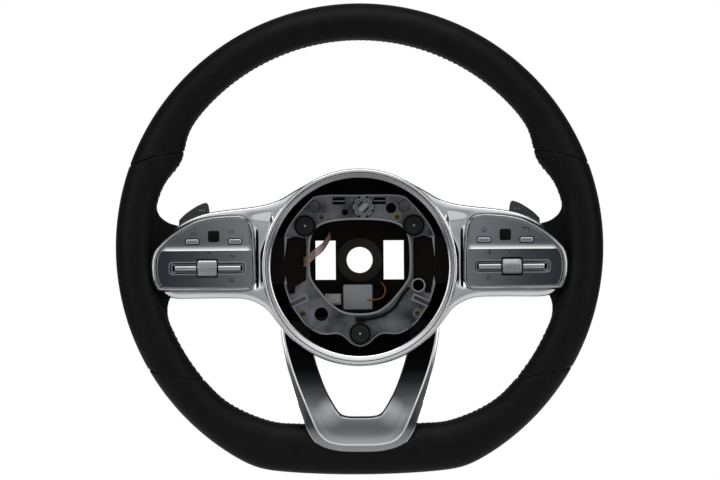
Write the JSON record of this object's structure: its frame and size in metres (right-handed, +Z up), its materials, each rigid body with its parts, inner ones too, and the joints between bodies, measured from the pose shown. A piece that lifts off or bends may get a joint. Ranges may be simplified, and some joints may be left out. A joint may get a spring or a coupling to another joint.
{
  "type": "car steering wheel",
  "caption": "Car steering wheel with a flat-bottomed leather rim, switch pods on the side spokes, shift paddles behind them and an open hub well.",
  "frame": {"origin": "where the column bore leaves the back face of the steel hub boss, on the column's axis", "axes": "+X to the driver's right, +Y along the column away from the driver, +Z up"},
  "size_m": [0.37, 0.0698, 0.3575],
  "materials": {
    "cast_alloy": "bead-blasted casting",
    "machined_steel": "machined",
    "smooth_leather": "smooth, semi-matt",
    "perforated_leather": "finely perforated, semi-matt",
    "satin_silver_paint": "satin silver paint",
    "satin_aluminium": "satin",
    "bright_chrome": "polished",
    "black_plastic": "fine grain",
    "gloss_black": "gloss",
    "dark_grey_plastic": "fine grain",
    "grey_plastic": "fine grain",
    "yellow_zinc": "yellow passivated",
    "label_stock": "plain film",
    "white_plastic": "plain",
    "wire_insulation": "plain",
    "orange_insulation": "plain",
    "black_insulation": "plain"
  },
  "bodies": {
    "wheel": {"armature": "cast_alloy", "hub_boss": "machined_steel", "rim_top": "smooth_leather", "rim_left_grip": "perforated_leather", "rim_right_grip": "perforated_leather", "rim_bottom": "smooth_leather", "bezel": "satin_silver_paint", "hub_ring": "satin_aluminium", "lower_spoke_trim": "satin_silver_paint", "lower_spoke_cover": "black_plastic", "rear_cover": "black_plastic", "deck_screws": "yellow_zinc", "ribbed_plug": "grey_plastic", "clip_wires": "machined_steel", "cable_cover_left": "black_plastic", "cable_cover_right": "black_plastic", "control_unit": "black_plastic", "label_plate": "label_stock", "connector": "white_plastic", "switch_wires": "wire_insulation", "orange_lead": "orange_insulation", "horn_lead": "black_insulation", "sleeve_left": "black_plastic", "sleeve_right": "black_plastic", "sleeve_lower": "black_plastic", "left_pod_frame": "bright_chrome", "left_switch_panel": "satin_silver_paint", "left_switch_housing": "black_plastic", "left_rocker_pin": "machined_steel", "right_pod_frame": "bright_chrome", "right_switch_panel": "satin_silver_paint", "right_switch_housing": "black_plastic", "right_roller_pin": "machined_steel", "left_paddle_bracket": "black_plastic", "left_paddle_pin": "machined_steel", "right_paddle_bracket": "black_plastic", "right_paddle_pin": "machined_steel"},
    "plunger_left": {"plunger_left": "dark_grey_plastic"},
    "plunger_right": {"plunger_right": "dark_grey_plastic"},
    "plunger_lower": {"plunger_lower": "dark_grey_plastic"},
    "left_outer_button": {"left_outer_button": "satin_silver_paint"},
    "right_outer_button": {"right_outer_button": "satin_silver_paint"},
    "left_inner_button": {"left_inner_button": "satin_silver_paint"},
    "right_inner_button": {"right_inner_button": "satin_silver_paint"},
    "left_touch_pad": {"left_touch_pad": "gloss_black"},
    "right_touch_pad": {"right_touch_pad": "gloss_black"},
    "left_outer_toggle": {"left_outer_toggle": "satin_silver_paint"},
    "right_outer_toggle": {"right_outer_toggle": "satin_silver_paint"},
    "left_inner_toggle": {"left_inner_toggle": "satin_silver_paint"},
    "right_inner_toggle": {"right_inner_toggle": "satin_silver_paint"},
    "left_rocker": {"left_rocker": "bright_chrome"},
    "right_roller": {"right_roller": "bright_chrome"},
    "left_paddle": {"left_paddle": "dark_grey_plastic"},
    "right_paddle": {"right_paddle": "dark_grey_plastic"}
  },
  "joints": [
    {"name": "plunger_left_press", "type": "slide", "parent": "wheel", "child": "plunger_left", "axis": [0, 1, 0], "range_m": [0, 0.002], "stiffness_N_per_m": 4000, "springref_m": -0.001},
    {"name": "plunger_right_press", "type": "slide", "parent": "wheel", "child": "plunger_right", "axis": [0, 1, 0], "range_m": [0, 0.002], "stiffness_N_per_m": 4000, "springref_m": -0.001},
    {"name": "plunger_lower_press", "type": "slide", "parent": "wheel", "child": "plunger_lower", "axis": [0, 1, 0], "range_m": [0, 0.002], "stiffness_N_per_m": 4000, "springref_m": -0.001},
    {"name": "left_outer_button_press", "type": "slide", "parent": "wheel", "child": "left_outer_button", "axis": [0, 1, 0], "range_m": [0, 0.0007], "stiffness_N_per_m": 1500, "springref_m": -0.001},
    {"name": "right_outer_button_press", "type": "slide", "parent": "wheel", "child": "right_outer_button", "axis": [0, 1, 0], "range_m": [0, 0.0007], "stiffness_N_per_m": 1500, "springref_m": -0.001},
    {"name": "left_inner_button_press", "type": "slide", "parent": "wheel", "child": "left_inner_button", "axis": [0, 1, 0], "range_m": [0, 0.0007], "stiffness_N_per_m": 1500, "springref_m": -0.001},
    {"name": "right_inner_button_press", "type": "slide", "parent": "wheel", "child": "right_inner_button", "axis": [0, 1, 0], "range_m": [0, 0.0007], "stiffness_N_per_m": 1500, "springref_m": -0.001},
    {"name": "left_touch_pad_press", "type": "slide", "parent": "wheel", "child": "left_touch_pad", "axis": [0, 1, 0], "range_m": [0, 0.0004], "stiffness_N_per_m": 2500, "springref_m": -0.0006},
    {"name": "right_touch_pad_press", "type": "slide", "parent": "wheel", "child": "right_touch_pad", "axis": [0, 1, 0], "range_m": [0, 0.0004], "stiffness_N_per_m": 2500, "springref_m": -0.0006},
    {"name": "left_outer_toggle_tilt", "type": "hinge", "parent": "wheel", "child": "left_outer_toggle", "pos_m": [0, -0.056, -0.0052], "axis": [1, 0, 0], "range_deg": [-6, 6], "stiffness_Nm_per_rad": 0.17},
    {"name": "right_outer_toggle_tilt", "type": "hinge", "parent": "wheel", "child": "right_outer_toggle", "pos_m": [0, -0.056, -0.0052], "axis": [1, 0, 0], "range_deg": [-6, 6], "stiffness_Nm_per_rad": 0.17},
    {"name": "left_inner_toggle_tilt", "type": "hinge", "parent": "wheel", "child": "left_inner_toggle", "pos_m": [0, -0.056, -0.0052], "axis": [1, 0, 0], "range_deg": [-6, 6], "stiffness_Nm_per_rad": 0.17},
    {"name": "right_inner_toggle_tilt", "type": "hinge", "parent": "wheel", "child": "right_inner_toggle", "pos_m": [0, -0.056, -0.0052], "axis": [1, 0, 0], "range_deg": [-6, 6], "stiffness_Nm_per_rad": 0.17},
    {"name": "left_rocker_tilt", "type": "hinge", "parent": "wheel", "child": "left_rocker", "pos_m": [-0.1152, -0.06, -0.0052], "axis": [1, 0, 0], "range_deg": [-6, 6], "stiffness_Nm_per_rad": 0.17},
    {"name": "right_roller_spin", "type": "hinge", "parent": "wheel", "child": "right_roller", "pos_m": [0.1152, -0.0612, -0.0052], "axis": [1, 0, 0], "continuous": true},
    {"name": "left_paddle_pull", "type": "hinge", "parent": "wheel", "child": "left_paddle", "pos_m": [-0.086, -0.022, 0], "axis": [0, 0, 1], "range_deg": [0, 5.5], "stiffness_Nm_per_rad": 1.5, "springref_deg": -7.45},
    {"name": "right_paddle_pull", "type": "hinge", "parent": "wheel", "child": "right_paddle", "pos_m": [0.086, -0.022, 0], "axis": [0, 0, -1], "range_deg": [0, 5.5], "stiffness_Nm_per_rad": 1.5, "springref_deg": -7.45}
  ]
}
